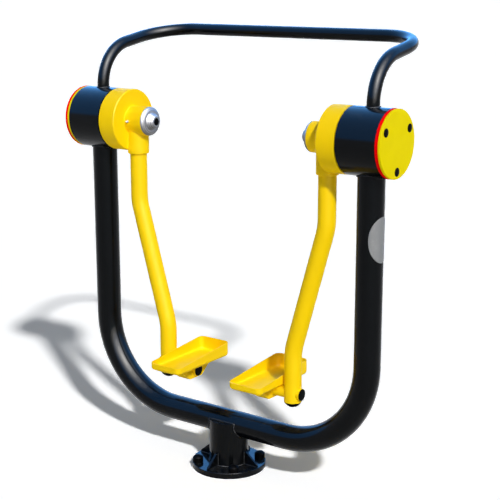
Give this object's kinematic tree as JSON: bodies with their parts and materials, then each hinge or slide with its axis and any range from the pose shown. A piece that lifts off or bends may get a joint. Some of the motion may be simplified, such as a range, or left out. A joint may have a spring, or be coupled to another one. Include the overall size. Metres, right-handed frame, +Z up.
{
  "type": "outdoor air walker",
  "caption": "Outdoor air walker with two swinging footplates on a black U-shaped tube frame, with a round anchored base and a front handlebar.",
  "frame": {"origin": "centre of the base flange's underside, on the ground", "axes": "+X along the swing axis towards the right housing, +Y the way the user faces (to the handlebar), +Z up"},
  "size_m": [1.3076, 0.5271, 1.5403],
  "materials": {
    "black_powder_coat": "gloss",
    "yellow_paint": "gloss",
    "turned_aluminium": "satin",
    "machined_steel": "satin",
    "bearing_steel": "polished",
    "spring_steel": "satin",
    "zinc_plated_steel": "satin",
    "black_plastic": "satin",
    "red_plastic": "satin",
    "yellow_plastic": "satin",
    "buffer_rubber": "matte"
  },
  "bodies": {
    "frame": {"anchor_caps": "black_plastic", "anchor_nuts": "zinc_plated_steel", "anchor_washers": "zinc_plated_steel", "axle_nuts": "zinc_plated_steel", "axle_washers": "zinc_plated_steel", "base_flange": "black_powder_coat", "base_gussets": "black_powder_coat", "base_post": "black_powder_coat", "bearing_balls": "bearing_steel", "bearing_inner_rings": "bearing_steel", "bearing_spacers": "machined_steel", "cover_screw_caps": "black_plastic", "cover_screws": "zinc_plated_steel", "handlebar": "black_powder_coat", "hub_cap_plugs": "black_plastic", "hub_cap_screws": "zinc_plated_steel", "hub_nuts": "zinc_plated_steel", "hub_washers": "zinc_plated_steel", "left_axle": "machined_steel", "left_axle_carrier": "black_powder_coat", "left_bearing_housing": "black_powder_coat", "left_cover_red_layer": "red_plastic", "left_cover_yellow_layer": "yellow_plastic", "left_hub_cap": "turned_aluminium", "left_stop_buffers": "buffer_rubber", "right_axle": "machined_steel", "right_axle_carrier": "black_powder_coat", "right_bearing_housing": "black_powder_coat", "right_cover_red_layer": "red_plastic", "right_cover_yellow_layer": "yellow_plastic", "right_hub_cap": "turned_aluminium", "right_stop_buffers": "buffer_rubber", "u_frame": "black_powder_coat"},
    "left_swing_arm": {"left_hub_drum": "yellow_paint", "left_hub_barrel": "yellow_paint", "left_bearing_outer_rings": "bearing_steel", "left_circlips": "spring_steel", "left_grease_nipple": "zinc_plated_steel", "left_arm": "yellow_paint", "left_arm_end_plug": "black_plastic", "left_footplate": "yellow_paint", "left_footplate_bracket": "yellow_paint", "left_footplate_bolt": "zinc_plated_steel", "left_footplate_nut": "zinc_plated_steel", "left_bolt_cap_bases": "yellow_paint", "left_bolt_caps": "black_plastic"},
    "right_swing_arm": {"right_hub_drum": "yellow_paint", "right_hub_barrel": "yellow_paint", "right_bearing_outer_rings": "bearing_steel", "right_circlips": "spring_steel", "right_grease_nipple": "zinc_plated_steel", "right_arm": "yellow_paint", "right_arm_end_plug": "black_plastic", "right_footplate": "yellow_paint", "right_footplate_bracket": "yellow_paint", "right_footplate_bolt": "zinc_plated_steel", "right_footplate_nut": "zinc_plated_steel", "right_bolt_cap_bases": "yellow_paint", "right_bolt_caps": "black_plastic"}
  },
  "joints": [
    {"name": "left_arm_swing", "type": "hinge", "parent": "frame", "child": "left_swing_arm", "pos_m": [0, 0, 1.213], "axis": [1, 0, 0], "range_deg": [-45, 45]},
    {"name": "right_arm_swing", "type": "hinge", "parent": "frame", "child": "right_swing_arm", "pos_m": [0, 0, 1.213], "axis": [1, 0, 0], "range_deg": [-45, 45]}
  ]
}
